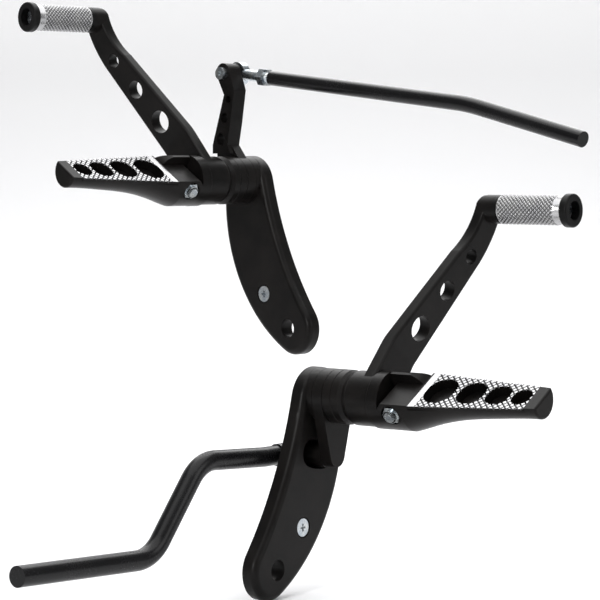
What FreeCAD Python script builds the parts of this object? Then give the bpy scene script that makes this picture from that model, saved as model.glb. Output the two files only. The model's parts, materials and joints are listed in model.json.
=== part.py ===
"""Motorcycle forward controls: the brake side (right) and the shift side (left) of one set.

Each side is a frame bracket with a hub, a bent foot lever that turns on the hub and carries a toe peg,
a folding foot peg with a serrated pad, and a linkage arm with its rod. Both sides are built from the
same functions: SIDE is +1 on the right and -1 on the left, and it mirrors every x.
In a side's own frame the hub's axis is x, outboard is SIDE * x, forward is y and up is z, and the
outboard face of the bracket is x = 0. Sizes are in millimetres.
"""
import FreeCAD
import Part
import math
import os
import re

import Sketcher
from FreeCAD import Placement, Rotation, Vector

DIMS = {
    # Bracket plate
    "plate_thick": 12.5, "plate_round": 5.0, "head_ahead": 1.7, "head_below": 4.6, "head_radius": 26.0,
    "rear_bow": 314.0, "front_bow": 148.0, "end_radius": 22.8, "end_behind": 60.7, "end_below": 128.5,
    "frame_hole_y": 56.2, "frame_hole_z": 128.5, "frame_hole_dia": 16.0, "screw_y": 24.8,
    "screw_z": 99.8, "screw_head_dia": 14.0, "screw_head_high": 4.0, "screw_dia": 6.0,
    "screw_sink": 4.6, "screw_gap": 0.9, "recess_wide": 1.6, "recess_long": 6.0, "recess_deep": 2.0,
    # Hub stack along x, from the bracket's face outboard
    "hub_radius": 21.0, "boss_long": 4.3, "boss_root": 8.75, "arm_thick": 9.4, "spacer_long": 8.2,
    "run_gap": 0.3, "groove_in": 9.4, "groove_before": 3.2, "groove_after": 4.4, "groove_deep": 2.0,
    "hub_chamfer": 0.4, "pivot_dia": 16.0, "bush_wall": 2.0, "fit_gap": 0.05, "bush_gap": 4.0,
    "pivot_head_dia": 24.0, "pivot_head_high": 5.0,
    # Lever
    "lever_outer": 56.0, "lever_thick": 10.8, "lever_angle": 50.0, "lever_lean": 12.6, "bend_low": 44.0,
    "lever_far": 205.0, "root_width": 40.4, "top_width": 25.6, "lever_bend": 30.0, "lever_round": 2.4,
    "rear_sweep": 56.5, "front_sweep": 101.7, "sweep_start": 4.0, "hole_low_dia": 20.0,
    "hole_mid_dia": 16.0, "hole_top_dia": 12.0, "hole_low_at": 67.0, "hole_mid_at": 104.0,
    "hole_top_at": 137.5,
    # Toe peg
    "toe_y": 106.8, "toe_z": 142.0, "toe_boss_radius": 11.3, "toe_boss_end": 90.0, "toe_lean": 63.5,
    "toe_blend": 11.0, "collar_long": 3.6, "collar_dia": 22.4, "sleeve_long": 58.0, "sleeve_dia": 23.0,
    "sleeve_seat": 14.0, "cap_long": 7.0, "cap_dia": 26.0, "cap_bore": 15.2, "cap_round": 1.5,
    "toe_bolt_dia": 8.0, "toe_head_dia": 13.0, "toe_head_high": 8.0, "key_flat": 6.0, "key_deep": 4.0,
    # Foot peg and its mount, in a frame tilted about the hub's axis: x along the peg, z square to the pad
    "peg_tilt": 31.0, "mount_radius": 22.0, "mount_neck": 10.1, "mount_cover": 2.0, "peg_pivot": 79.0,
    "pivot_high": 3.0, "ear_radius": 12.0, "lap_y": 6.2, "lap_gap": 0.4, "lug_top": 20.0,
    "lug_reach": 6.0, "pad_start": 96.4, "pad_end": 193.0, "pad_high": 12.4, "pad_thick": 3.2,
    "pad_wide": 21.4, "pad_wide_end": 14.1, "peg_end": 203.0, "end_round": 1.6, "peg_sink_dia": 16.0,
    "nut_floor": 16.5, "nut_flat": 13.0, "nut_high": 5.6, "nut_collar_dia": 11.0, "nut_collar": 2.6,
    "peg_bolt_dia": 8.0, "peg_bolt_end": 1.2, "peg_head_dia": 13.0, "peg_head_high": 7.6,
    "head_sink": 10.0, "head_gap": 0.6, "recess_depth": 5.0, "root_end": 90.0, "root_wide": 21.2,
    "root_deep": 21.4, "hole_a_at": 114.0, "hole_a_half": 12.3, "hole_a_tall": 15.0, "hole_b_at": 141.2,
    "hole_b_half": 11.0, "hole_b_tall": 13.1, "hole_c_at": 164.6, "hole_c_half": 9.7,
    "hole_c_tall": 11.2, "hole_d_at": 184.6, "hole_d_half": 7.6, "hole_d_tall": 9.1,
    "waist_a_at": 104.0, "waist_a_wide": 20.6, "waist_a_deep": 16.8, "waist_b_at": 120.0,
    "waist_b_wide": 19.3, "waist_b_deep": 11.9, "waist_c_at": 145.0, "waist_c_wide": 17.4,
    "waist_c_deep": 7.2, "waist_d_at": 175.0, "waist_d_wide": 15.1, "waist_d_deep": 4.5,
    "tip_wide": 12.9, "tip_deep": 3.5,
    # Brake arm and rod
    "brake_reach": 46.0, "brake_end_radius": 8.8, "stud_dia": 10.0, "stud_head_dia": 20.0, "flange_dia": 40.0,
    "slot_wide": 22.0, "slot_ahead": 6.0, "slot_behind": 18.0, "brake_rod_dia": 15.2,
    "brake_rod_bend": 32.0, "rod_inboard": 26.0, "eye_radius": 13.0, "eye_thick": 9.0,
    "eye_shank": 25.0, "eye_shank_dia": 17.2, "eye_neck": 10.4, "washer_dia": 15.0, "washer_thick": 1.6, "flange_thick": 2.0,
    "end_proud": 1.0, "brake_bend_y": 116.1, "brake_bend_z": 41.6, "brake_drop_y": 170.7,
    "brake_drop_z": 107.0, "brake_end_y": 307.4, "brake_end_z": 101.0,
    # Shift arm and rod
    "link_y": 7.8, "link_z": 93.8, "shift_tip": 9.0, "shift_thick": 14.0, "shift_step": 23.5,
    "arm_hole_a_y": 10.5, "arm_hole_a_z": 36.0, "arm_hole_a_dia": 11.0, "arm_hole_b_y": 5.8,
    "arm_hole_b_z": 54.5, "arm_hole_b_dia": 9.0, "arm_hole_c_y": 0.6, "arm_hole_c_z": 71.0,
    "arm_hole_c_dia": 6.8, "arm_rear_low": 2.0, "arm_rear_mid": -2.2, "arm_kink_rear_y": -7.0,
    "arm_kink_rear_z": 79.0, "arm_kink_front_y": 6.2, "arm_kink_front_z": 75.0, "arm_front_low": 21.5,
    "arm_low_z": 31.0, "arm_mid_z": 51.0, "arm_root_rear": 25.0, "arm_root_front": 20.0,
    "arm_root": 20.58, "foot_slope": 0.6, "ball_dia": 14.0, "ball_wide": 10.0, "ball_gap": 0.1,
    "end_ring": 10.5, "end_neck": 8.4, "end_wide": 7.0, "link_gap": 0.4, "shank_dia": 10.0,
    "shank_long": 30.0, "thread_dia": 7.8, "jam_flat": 14.0, "jam_high": 7.5, "rod_start": 43.0,
    "link_bolt_dia": 6.0, "link_head_dia": 11.0, "link_head_high": 4.0, "link_key": 4.0,
    "link_key_deep": 2.8, "link_nut_flat": 10.0, "link_nut_high": 5.0, "shift_rod_dia": 12.7,
    "shift_rod_bend": 200.0, "shift_bend_y": 269.3, "shift_bend_z": 63.0, "shift_end_y": 390.5,
    "shift_end_z": 34.3,
    # Where the left side lies beside the right one, and how far it is turned
    "left_x": -229.7, "left_y": 185.2, "left_z": 161.8, "left_turn": 80.7,
}

doc = FreeCAD.newDocument("forward_controls")
sheet = doc.addObject("Spreadsheet::Sheet", "Dims")
for row, (alias, size) in enumerate(DIMS.items(), start=1):
    sheet.set("A%d" % row, alias)
    sheet.set("B%d" % row, str(size))
    sheet.setAlias("B%d" % row, alias)
doc.recompute()

WORD = re.compile(r"[a-z_]+")
SIDES = {"right": 1, "left": -1}
NODES = []


def bound(text):
    """The expression for a size, with each named size read from the sheet."""
    return WORD.sub(lambda m: "Dims." + m.group() if m.group() in DIMS else m.group(), str(text))


def number(text):
    """The value of such an expression now."""
    return float(sheet.evalExpression(bound(text)))


def bind(thing, prop, text):
    thing.setExpression(prop, bound(text))


def new_body(name):
    body = doc.addObject("PartDesign::Body", name)
    body.Label = name
    return body


def new_sketch(body, plane, offset="0", tilt="0"):
    """A sketch on one of the body's own planes, moved along its normal and turned about its first axis."""
    sketch = body.newObject("Sketcher::SketchObject", "sketch")
    support = [f for f in body.Origin.OriginFeatures if f.Role == plane][0]
    sketch.AttachmentSupport = [(support, "")]
    sketch.MapMode = "FlatFace"
    turn = Rotation(Vector(1, 0, 0), number(tilt))
    sketch.AttachmentOffset = Placement(turn.multVec(Vector(0, 0, number(offset))), turn)
    if tilt == "0":
        bind(sketch, "AttachmentOffset.Base.z", offset)
    return sketch


def fix(sketch, geo, pos, point):
    for kind, text in zip(("DistanceX", "DistanceY"), point):
        index = sketch.addConstraint(Sketcher.Constraint(kind, -1, 1, geo, pos, number(text)))
        bind(sketch, "Constraints[%d]" % index, text)


def add_circle(sketch, centre, radius):
    middle = Vector(number(centre[0]), number(centre[1]), 0)
    geo = sketch.addGeometry(Part.Circle(middle, Vector(0, 0, 1), number(radius)))
    fix(sketch, geo, 3, centre)
    index = sketch.addConstraint(Sketcher.Constraint("Radius", geo, number(radius)))
    bind(sketch, "Constraints[%d]" % index, radius)


def arc_between(start, end, radius, turn, large):
    """The arc from start to end with its centre on the left for turn +1 and on the right for -1."""
    along = end - start
    half = along.Length / 2
    rise = math.sqrt(max(radius ** 2 - half ** 2, 0)) * (-1 if large else 1)
    normal = Vector(-along.y, along.x, 0).normalize() * turn
    centre = (start + end) * 0.5 + normal * rise
    first, last = (start, end) if turn > 0 else (end, start)
    angles = [math.atan2(p.y - centre.y, p.x - centre.x) for p in (first, last)]
    return Part.ArcOfCircle(Part.Circle(centre, Vector(0, 0, 1), radius), *angles)


def add_loop(sketch, points):
    """A closed outline of (x, y) points; (x, y, radius, turn, large) has an arc to the next one."""
    spots = [Vector(number(p[0]), number(p[1]), 0) for p in points]
    ends = []
    for i, point in enumerate(points):
        start, end = spots[i], spots[(i + 1) % len(points)]
        if len(point) == 2:
            geo = sketch.addGeometry(Part.LineSegment(start, end))
            ends.append((geo, 1, 2))
            continue
        radius, turn, large = point[2:]
        geo = sketch.addGeometry(arc_between(start, end, number(radius), turn, large))
        ends.append((geo, 1, 2) if turn > 0 else (geo, 2, 1))
        index = sketch.addConstraint(Sketcher.Constraint("Radius", geo, number(radius)))
        bind(sketch, "Constraints[%d]" % index, radius)
    for i, (geo, first, last) in enumerate(ends):
        following = ends[(i + 1) % len(ends)]
        sketch.addConstraint(Sketcher.Constraint("Coincident", geo, last, following[0], following[1]))
        fix(sketch, geo, first, points[i])


def pad(body, sketch, length, back=False):
    feature = body.newObject("PartDesign::Pad", "pad")
    feature.Profile = sketch
    bind(feature, "Length", length)
    feature.Reversed = back
    doc.recompute()
    return feature


def pocket(body, sketch, length, back=False):
    """A cut that has to take material away."""
    before = body.Shape.Volume
    feature = body.newObject("PartDesign::Pocket", "pocket")
    feature.Profile = sketch
    bind(feature, "Length", length)
    feature.Reversed = back
    doc.recompute()
    if body.Shape.Volume > before - 1e-6:
        raise RuntimeError("a pocket cuts nothing in " + body.Label)
    return feature


def revolve(body, sketch):
    feature = body.newObject("PartDesign::Revolution", "turned")
    feature.Profile = sketch
    feature.ReferenceAxis = (sketch, ["H_Axis"])
    feature.Angle = 360.0
    doc.recompute()
    return feature


def round_edges(body, chosen, radius):
    """Rounds those edges of the body as it stands that the test picks out."""
    base = body.Tip
    names = ["Edge%d" % (i + 1) for i, edge in enumerate(base.Shape.Edges) if chosen(edge)]
    feature = body.newObject("PartDesign::Fillet", "rounding")
    feature.Base = (base, names)
    bind(feature, "Radius", radius)
    doc.recompute()
    return feature


def mirrored(side, x):
    return "%d*(%s)" % (side, x)


def flipped(side, points):
    """An outline with its x mirrored for the left side, and its arcs turned the other way."""
    def arc(p):
        return (p[2], p[3] * side, p[4]) if len(p) > 2 else ()
    return [(mirrored(side, p[0]), p[1]) + arc(p) for p in points]


def turned(label, side, stations, spot=Placement()):
    """A piece turned about x, from the (x, radius) stations of its half section."""
    body = new_body(label)
    sketch = new_sketch(body, "XY_Plane")
    add_loop(sketch, flipped(side, stations))
    revolve(body, sketch)
    return finish(body, side, spot)


def side_place(side):
    """Where a side's own frame lies: the right side's frame bolt hole is the part's origin."""
    right = Vector(number("plate_thick"), number("frame_hole_y"), number("frame_hole_z"))
    if side > 0:
        return Placement(right, Rotation())
    shift = Vector(number("left_x"), number("left_y"), number("left_z"))
    return Placement(right + shift, Rotation(Vector(0, 0, 1), number("left_turn")))


def finish(thing, side, spot=Placement()):
    """Puts a finished piece in its place in the set."""
    thing.Placement = side_place(side).multiply(spot)
    NODES.append(thing)
    return thing


def pocket_x(body, side, at, depth, draw, inward=True):
    """A cut along x that starts at the plane at and goes inboard, or outboard."""
    sketch = new_sketch(body, "YZ_Plane", mirrored(side, at))
    draw(sketch)
    return pocket(body, sketch, depth, back=(side < 0) == inward)


def pad_x(body, side, at, length, draw):
    """A plate or boss that starts at the plane at and grows outboard."""
    sketch = new_sketch(body, "YZ_Plane", mirrored(side, at))
    draw(sketch)
    return pad(body, sketch, length, back=side < 0)


def ring(centre, *radii):
    def draw(sketch):
        for radius in radii:
            add_circle(sketch, centre, radius)
    return draw


def hexagon(flat, centre=("0", "0")):
    """The six corners of a hexagon from its width across flats."""
    corners = []
    for k in range(6):
        angle = 60 * k
        reach = "%s/2/cos(30)" % flat
        corners.append(("%s+%s*cos(%d)" % (centre[0], reach, angle),
                        "%s+%s*sin(%d)" % (centre[1], reach, angle)))
    return lambda sketch: add_loop(sketch, corners)


def rod_along(points, bend, diameter):
    """A round rod along straight runs joined by tangent arcs of one bend radius."""
    edges = []
    last = points[0]
    for i in range(1, len(points) - 1):
        before = (points[i] - points[i - 1]).normalize()
        after = (points[i + 1] - points[i]).normalize()
        turn = before.getAngle(after)
        reach = bend * math.tan(turn / 2)
        start, end = points[i] - before * reach, points[i] + after * reach
        inward = (after - before).normalize()
        middle = points[i] + inward * (bend / math.cos(turn / 2) - bend)
        edges += [Part.LineSegment(last, start).toShape(), Part.Arc(start, middle, end).toShape()]
        last = end
    edges.append(Part.LineSegment(last, points[-1]).toShape())
    path = Part.Wire(edges)
    face = Part.Wire([Part.Circle(points[0], points[1] - points[0], diameter / 2).toShape()])
    return path.makePipeShell([face], True, False)


def far_centre(middles, reaches):
    """The rearmost point that lies at the given reaches from two centres."""
    line = middles[1] - middles[0]
    along = (reaches[0] ** 2 - reaches[1] ** 2 + line.Length ** 2) / (2 * line.Length)
    across = math.sqrt(reaches[0] ** 2 - along ** 2)
    unit = Vector(line).normalize()
    spots = [middles[0] + unit * along + Vector(-unit.y, unit.x, 0) * across * sign for sign in (1, -1)]
    return min(spots, key=lambda p: p.x)


def make_bracket(name, side):
    body = new_body(name + "_bracket")

    def outline(sketch):
        """Two round ends joined by a hollow rear edge and a full front edge, all tangent."""
        head, end = ("head_ahead", "-head_below"), ("-end_behind", "-end_below")
        middle = [Vector(number(c[0]), number(c[1]), 0) for c in (head, end)]
        radii = [number("head_radius"), number("end_radius")]
        bows = [number("rear_bow"), number("front_bow")]
        rear = far_centre(middle, [bows[0] + r for r in radii])
        front = far_centre(middle, [bows[1] - r for r in radii])
        touch_rear = [c + (rear - c).normalize() * r for c, r in zip(middle, radii)]
        touch_front = [front + (c - front).normalize() * bows[1] for c in middle]
        arcs = (("head_radius", middle[0], radii[0], touch_front[0], touch_rear[0]),
                ("rear_bow", rear, bows[0], touch_rear[1], touch_rear[0]),
                ("end_radius", middle[1], radii[1], touch_rear[1], touch_front[1]),
                ("front_bow", front, bows[1], touch_front[1], touch_front[0]))
        for text, centre, radius, start, stop in arcs:
            angles = [math.atan2(p.y - centre.y, p.x - centre.x) for p in (start, stop)]
            circle = Part.Circle(centre, Vector(0, 0, 1), radius)
            geo = sketch.addGeometry(Part.ArcOfCircle(circle, *angles))
            index = sketch.addConstraint(Sketcher.Constraint("Radius", geo, radius))
            bind(sketch, "Constraints[%d]" % index, text)
        for first, start, second, stop in ((0, 2, 1, 2), (1, 1, 2, 1), (2, 2, 3, 1), (3, 2, 0, 1)):
            sketch.addConstraint(Sketcher.Constraint("Tangent", first, start, second, stop))
        fix(sketch, 0, 3, head)
        fix(sketch, 2, 3, end)
    pad_x(body, side, "-plate_thick", "plate_thick", outline)
    round_edges(body, lambda e: max(abs(v.X) for v in e.Vertexes) < 1e-6, "plate_round")
    pad_x(body, side, "-boss_root", "boss_root+boss_long", ring(("0", "0"), "hub_radius"))
    pocket_x(body, side, "boss_long", "2*plate_thick", ring(("0", "0"), "pivot_dia/2+fit_gap"))
    hole = ("-frame_hole_y", "-frame_hole_z")
    pocket_x(body, side, "0", "plate_thick", ring(hole, "frame_hole_dia/2"))
    screw = ("-screw_y", "-screw_z")
    pocket_x(body, side, "0", "plate_thick", ring(screw, "screw_dia/2"))
    pocket_x(body, side, "0", "screw_sink", ring(screw, "screw_head_dia/2+screw_gap"))
    if side > 0:
        ahead, behind = "270+slot_ahead", "270-slot_behind"

        def polar(reach, angle):
            return "(%s)*cos(%s)" % (reach, angle), "(%s)*sin(%s)" % (reach, angle)
        inner, outer = "brake_reach-slot_wide/2", "brake_reach+slot_wide/2"
        for angle in (ahead, behind):
            pocket_x(body, side, "0", "plate_thick", ring(polar("brake_reach", angle), "slot_wide/2"))
        sector = [polar(outer, behind) + (outer, 1, False), polar(outer, ahead),
                  polar(inner, ahead) + (inner, -1, False), polar(inner, behind)]
        pocket_x(body, side, "0", "plate_thick", lambda sketch: add_loop(sketch, sector))
    return finish(body, side)


def make_screw(name, side):
    body = new_body(name + "_bracket_screw")
    seat = "-screw_sink"
    at = ("-screw_y", "-screw_z")
    pad_x(body, side, seat, "screw_head_high", ring(at, "screw_head_dia/2"))
    pad_x(body, side, "-plate_thick", "plate_thick-screw_sink", ring(at, "screw_dia/2"))
    top = "screw_head_high-screw_sink"
    half, reach = "recess_wide/2", "recess_long/2"
    upper = [(half, reach), (half, half), (reach, half)]
    corners = upper + [(y, "-" + z) for y, z in reversed(upper)]
    corners += [("-" + y, "-" + z) for y, z in upper]
    corners += [("-" + y, z) for y, z in reversed(upper)]
    cross = [("-screw_y+" + a, "-screw_z+" + b) for a, b in corners]
    pocket_x(body, side, top, "recess_deep", lambda sketch: add_loop(sketch, cross))
    return finish(body, side)


def make_hub(name, side):
    """The fixed pivot bolt, and the spacer and bushes that turn on it."""
    shaft = "pivot_dia/2"
    end = "lever_outer+run_gap+mount_neck-mount_cover"
    turned(name + "_pivot_bolt", side, [
        ("-plate_thick-pivot_head_high", "0"), ("-plate_thick-pivot_head_high", "pivot_head_dia/2"),
        ("-plate_thick", "pivot_head_dia/2"), ("-plate_thick", shaft), (end, shaft), (end, "0")])
    start, run = "boss_long+run_gap+arm_thick", "pivot_dia/2+bush_wall+fit_gap"
    turned(name + "_hub_spacer", side, [
        (start, run), (start, "hub_radius-hub_chamfer"), (start + "+hub_chamfer", "hub_radius"),
        (start + "+spacer_long-hub_chamfer", "hub_radius"),
        (start + "+spacer_long", "hub_radius-hub_chamfer"), (start + "+spacer_long", run)])
    inner, outer = "boss_long+run_gap", "lever_outer"
    middle = "(%s+%s)/2" % (inner, outer)
    bore, wall = "pivot_dia/2+fit_gap", "pivot_dia/2+bush_wall"
    bushes = (("inner", inner, middle + "-bush_gap/2"), ("outer", middle + "+bush_gap/2", outer))
    for label, first, last in bushes:
        turned("%s_%s_bush" % (name, label), side,
               [(first, bore), (first, wall), (last, wall), (last, bore)])


TOE_FACE = "lever_outer+(toe_y*cos(lever_angle)+toe_z*sin(lever_angle)-bend_low)*tan(lever_lean)"


def lever_outline():
    """The lever's planform: straight edges that taper from the hub, and a bend up to the toe peg's boss."""
    def along(r, w):
        return ("(%s)*cos(lever_angle)-(%s)*sin(lever_angle)" % (r, w),
                "(%s)*sin(lever_angle)+(%s)*cos(lever_angle)" % (r, w))

    def boss(ahead, below):
        return "toe_y%stoe_blend*sin(toe_lean)" % ahead, "toe_z%stoe_blend*cos(toe_lean)" % below
    return [along("0", "root_width/2"),
            along("hole_top_at-sweep_start", "top_width/2") + ("rear_sweep", 1, False), boss("-", "+") + ("toe_blend", -1, False),
            boss("+", "-") + ("front_sweep", -1, False), along("hole_top_at+sweep_start", "-top_width/2"),
            along("0", "-root_width/2")]


def make_lever(name, side):
    body = new_body(name + "_lever")
    half = "root_width"
    tilt = "lever_angle-90"
    sketch = new_sketch(body, "XZ_Plane", "-" + half, tilt)
    skew = "lever_thick*tan(lever_lean/2)"

    def bend(x, y, radius, turn):
        """A plate face's rounded bend: where the straight run ends, and the leaning run's two ends."""
        run = "%s*tan(lever_lean/2)" % radius
        plain = (x, "%s-%s" % (y, run))
        lean = ("%s+%s*sin(lever_lean)" % (x, run), "%s+%s*cos(lever_lean)" % (y, run))
        far = ("%s+(lever_far-(%s))*tan(lever_lean)" % (x, y), "lever_far")
        if turn < 0:
            return [plain + (radius, turn, False), lean, far]
        return [far, lean + (radius, turn, False), plain]
    face = [("lever_outer", "0")] + bend("lever_outer", "bend_low", "lever_bend", -1)
    back = bend("lever_outer-lever_thick", "bend_low+" + skew, "(lever_bend+lever_thick)", 1)
    back += [("lever_outer-lever_thick", "0")]
    add_loop(sketch, flipped(side, face + back))
    pad(body, sketch, "2*root_width")
    frame = new_sketch(body, "YZ_Plane", mirrored(side, "0"))
    add_loop(frame, lever_outline())
    reach = "lever_far*2"
    back = "-" + reach
    add_loop(frame, [(back, back), (reach, back), (reach, reach), (back, reach)])
    pocket(body, frame, "lever_outer*3", back=side > 0)
    angle = math.radians(number("lever_angle"))
    across = Vector(0, -math.sin(angle), math.cos(angle))

    def on_outline(edge):
        """Whether the edge runs along the outline: not over a bend, through the plate or at the hub."""
        first, last = edge.Vertexes[0].Point, edge.Vertexes[-1].Point
        line = (last - first).normalize()
        root = max(first.z, last.z) < number("root_width")
        return abs(line.x) < 0.9 and abs(line.dot(across)) < 0.99 and not root
    round_edges(body, on_outline, "lever_round")
    return body


def drill_lever(body, side, at, diameter):
    """A hole square to the leaning part of the plate, at a distance along the lever from the hub."""
    lean, angle = (math.radians(number(text)) for text in ("lever_lean", "lever_angle"))
    down = math.sin(lean)
    square = Vector(side * math.cos(lean), -down * math.cos(angle), -down * math.sin(angle))
    drill = body.newObject("PartDesign::SubtractiveCylinder", "drill")
    bind(drill, "Radius", diameter + "/2")
    bind(drill, "Height", "4*lever_thick")
    drill.Placement.Rotation = Rotation(Vector(0, 0, 1), square)
    beyond = "2*lever_thick*sin(lever_lean)"
    face = "lever_outer+(%s-bend_low)*tan(lever_lean)" % at
    bind(drill, "Placement.Base.x", mirrored(side, face + "-2*lever_thick*cos(lever_lean)"))
    bind(drill, "Placement.Base.y", "(%s+%s)*cos(lever_angle)" % (at, beyond))
    bind(drill, "Placement.Base.z", "(%s+%s)*sin(lever_angle)" % (at, beyond))
    before = body.Tip.BaseFeature.Shape.Volume
    doc.recompute()
    if body.Shape.Volume > before - 1:
        raise RuntimeError("a drill cuts nothing in " + body.Label)


def finish_lever(body, name, side):
    start = "boss_long+run_gap+arm_thick+spacer_long"
    wall = "pivot_dia/2+bush_wall+fit_gap"
    hub = new_sketch(body, "XY_Plane")
    stations = [(start, wall), (start, "hub_radius-hub_chamfer"), (start + "+hub_chamfer", "hub_radius"),
                (start + "+groove_in-groove_before", "hub_radius"),
                (start + "+groove_in", "hub_radius-groove_deep"),
                (start + "+groove_in+groove_after", "hub_radius"), ("lever_outer", "hub_radius"),
                ("lever_outer", wall)]
    add_loop(hub, [(mirrored(side, x), r) for x, r in stations])
    revolve(body, hub)
    pocket_x(body, side, "lever_outer", "lever_outer", ring(("0", "0"), wall))
    inner = TOE_FACE + "-lever_thick/2"
    pad_x(body, side, inner, "toe_boss_end-(%s)" % inner, ring(("toe_y", "toe_z"), "toe_boss_radius"))
    for hole in ("hole_low", "hole_mid", "hole_top"):
        drill_lever(body, side, hole + "_at", hole + "_dia")
    pocket_x(body, side, "toe_boss_end", "toe_boss_end", ring(("toe_y", "toe_z"), "toe_bolt_dia/2"))
    return finish(body, side)


def make_toe_peg(name, side):
    spot = Placement(Vector(0, number("toe_y"), number("toe_z")), Rotation())
    bolt, start = "toe_bolt_dia/2+fit_gap", "toe_boss_end+collar_long"
    end = start + "+sleeve_long"
    seat = end + "-sleeve_seat"
    turned(name + "_toe_collar", side, [
        ("toe_boss_end", bolt), ("toe_boss_end", "collar_dia/2"), (start, "collar_dia/2"),
        (start, bolt)], spot)
    turned(name + "_toe_sleeve", side, [
        (start, bolt), (start, "sleeve_dia/2"), (end, "sleeve_dia/2"), (end, "cap_bore/2"),
        (seat, "cap_bore/2"), (seat, bolt)], spot)
    tip = end + "+cap_long"
    turned(name + "_toe_cap", side, [
        (end, "cap_bore/2"), (end, "cap_dia/2-cap_round", "cap_round", -1, False),
        (end + "+cap_round", "cap_dia/2"),
        (tip + "-cap_round", "cap_dia/2", "cap_round", -1, False), (tip, "cap_dia/2-cap_round"),
        (tip, "cap_bore/2")], spot)
    inner = TOE_FACE + "-lever_thick/2"
    head = seat + "+toe_head_high"
    screw = turned(name + "_toe_bolt", side, [
        (inner, "0"), (inner, "toe_bolt_dia/2"), (seat, "toe_bolt_dia/2"), (seat, "toe_head_dia/2"),
        (head, "toe_head_dia/2"), (head, "0")], spot)
    pocket_x(screw, side, head, "key_deep", hexagon("key_flat"))


def pad_y(body, start, length, draw):
    """A boss across the peg, from y = start towards -y."""
    sketch = new_sketch(body, "XZ_Plane", "-(%s)" % start)
    draw(sketch)
    return pad(body, sketch, length)


def pocket_y(body, start, length, draw):
    """A cut across the peg, from y = start towards -y."""
    sketch = new_sketch(body, "XZ_Plane", "-(%s)" % start)
    draw(sketch)
    return pocket(body, sketch, length, back=True)


def make_peg_mount(name, side):
    """The collar on the hub's end, with a lug on its front side that the peg's ear folds against."""
    spot = Placement(Vector(), Rotation(Vector(1, 0, 0), number("peg_tilt")))
    body = new_body(name + "_peg_mount")
    start = "lever_outer+run_gap"
    swing = "sqrt((lug_top-pivot_high)^2+lug_reach^2)"
    neck = new_sketch(body, "XY_Plane")
    add_loop(neck, flipped(side, [
        (start, "0"), (start, "mount_radius-hub_chamfer"), (start + "+hub_chamfer", "mount_radius"),
        ("peg_pivot+" + swing, "mount_radius"), ("peg_pivot+" + swing, "0")]))
    revolve(body, neck)
    far, high, flank = "peg_pivot*2", "mount_radius*2", start + "+mount_neck"
    beside = flipped(side, [(flank, "-" + high), (far, "-" + high), (far, high), (flank, high)])
    pocket_y(body, "lap_y+lap_gap", high, lambda sketch: add_loop(sketch, beside))
    round_lug = flipped(side, [
        ("peg_pivot", "-" + high), ("peg_pivot", "pivot_high-" + swing, swing, 1, False),
        ("peg_pivot+" + swing, "pivot_high", swing, 1, False), ("peg_pivot+lug_reach", "lug_top"),
        (flank, "lug_top"), (flank, high), (far, high), (far, "-" + high)])
    pocket_y(body, high, high + "*2", lambda sketch: add_loop(sketch, round_lug))
    centre = (mirrored(side, "peg_pivot"), "pivot_high")
    pocket_y(body, "mount_radius", "mount_radius", ring(centre, "peg_bolt_dia/2+fit_gap"))
    pocket_y(body, "mount_radius", "head_sink", ring(centre, "peg_head_dia/2+head_gap"))
    pocket_x(body, side, start + "+mount_neck-mount_cover", "mount_neck", ring(("0", "0"), "pivot_dia/2"))
    return finish(body, side, spot)


def peg_section(body, side, at, wide, deep):
    """The peg's section at one place: a flat top, and a belly arc through its edges and lowest point."""
    sketch = new_sketch(body, "YZ_Plane", mirrored(side, at))
    tall = "(pad_high+%s)" % deep
    radius = "(%s^2+%s^2)/(2*%s)" % (wide, tall, tall)
    add_loop(sketch, [("-" + wide, "pad_high", radius, 1, True), (wide, "pad_high")])
    return sketch


def oval(side, at, half, tall):
    """A rounded slot across the peg, half wide along it and tall across it."""
    flat = "(%s-%s)" % (tall, half)
    return flipped(side, [
        ("%s+%s" % (at, half), "-" + flat), ("%s+%s" % (at, half), flat, half, 1, False),
        (at, tall, half, 1, False), ("%s-%s" % (at, half), flat),
        ("%s-%s" % (at, half), "-" + flat, half, 1, False),
        (at, "-" + tall, half, 1, False)])


WAISTS = ("waist_a", "waist_b", "waist_c", "waist_d")
PAD_HOLES = ("hole_a", "hole_b", "hole_c", "hole_d")


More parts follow.
